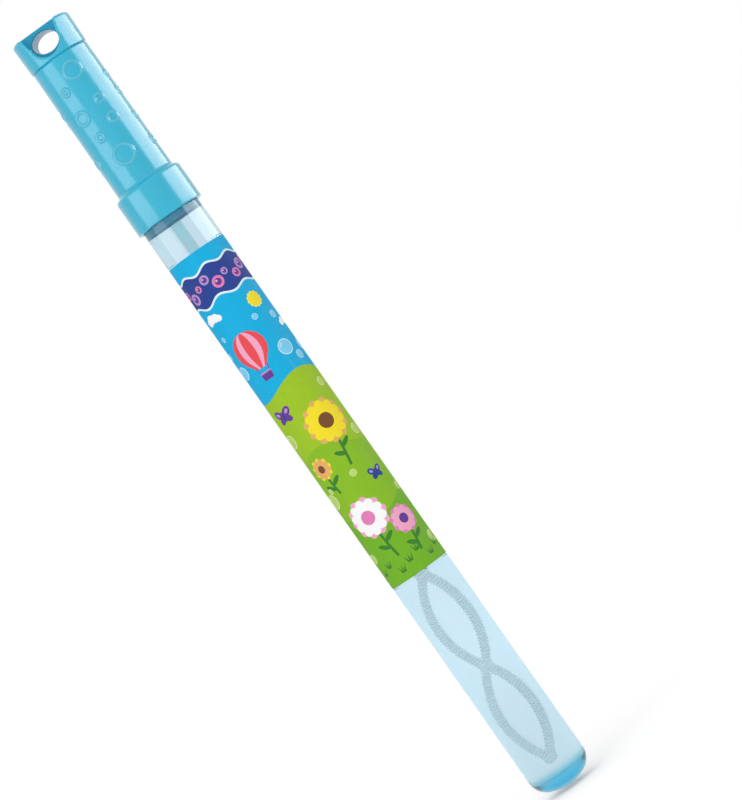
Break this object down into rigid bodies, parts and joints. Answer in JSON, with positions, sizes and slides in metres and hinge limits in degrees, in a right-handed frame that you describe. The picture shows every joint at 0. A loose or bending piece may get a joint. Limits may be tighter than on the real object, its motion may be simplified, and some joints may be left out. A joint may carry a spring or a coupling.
{
  "type": "bubble wand",
  "caption": "Slim clear tube for bubble solution with a screw-on grip that carries a long flat wand of chained loops, a soft seal and a hang eye.",
  "frame": {"origin": "lowest point of the tube's rounded base, on the tube's axis", "axes": "+Z along the tube towards the handle, +Y along the hang eye's hole; the flat loops lie in the XZ plane"},
  "size_m": [0.0298, 0.0298, 0.3656],
  "materials": {
    "clear_tube": "clear glossy extruded plastic, slightly blue from the liquid",
    "printed_wrap": "thin printed film, sky blue over grass green, satin gloss",
    "soft_seal": "soft white foam washer",
    "stopper_blue": "moulded blue plastic",
    "clear_wand": "clear, milky moulded plastic with fine ribs",
    "handle_blue": "glossy sky-blue moulded plastic with raised bubble rings"
  },
  "bodies": {
    "bottle": {"tube": "clear_tube", "label": "printed_wrap"},
    "seal": {"seal_ring": "soft_seal"},
    "wand_unit": {"stopper": "stopper_blue", "wand": "clear_wand"},
    "grip": {"handle": "handle_blue"}
  },
  "joints": [
    {"name": "wand_draw", "type": "slide", "parent": "bottle", "child": "seal", "axis": [0, 0, 1], "range_m": [0, 0.29]},
    {"name": "thread_lift", "type": "slide", "parent": "seal", "child": "wand_unit", "axis": [0, 0, 1], "range_m": [0, 0.005]},
    {"name": "cap_unscrew", "type": "hinge", "parent": "wand_unit", "child": "grip", "pos_m": [0, 0, 0.2894], "axis": [0, 0, 1], "range_deg": [0, 450]}
  ],
  "couplings": [
    {"joint": "thread_lift", "follows": "cap_unscrew", "m_per_rad": 0.00063662}
  ]
}
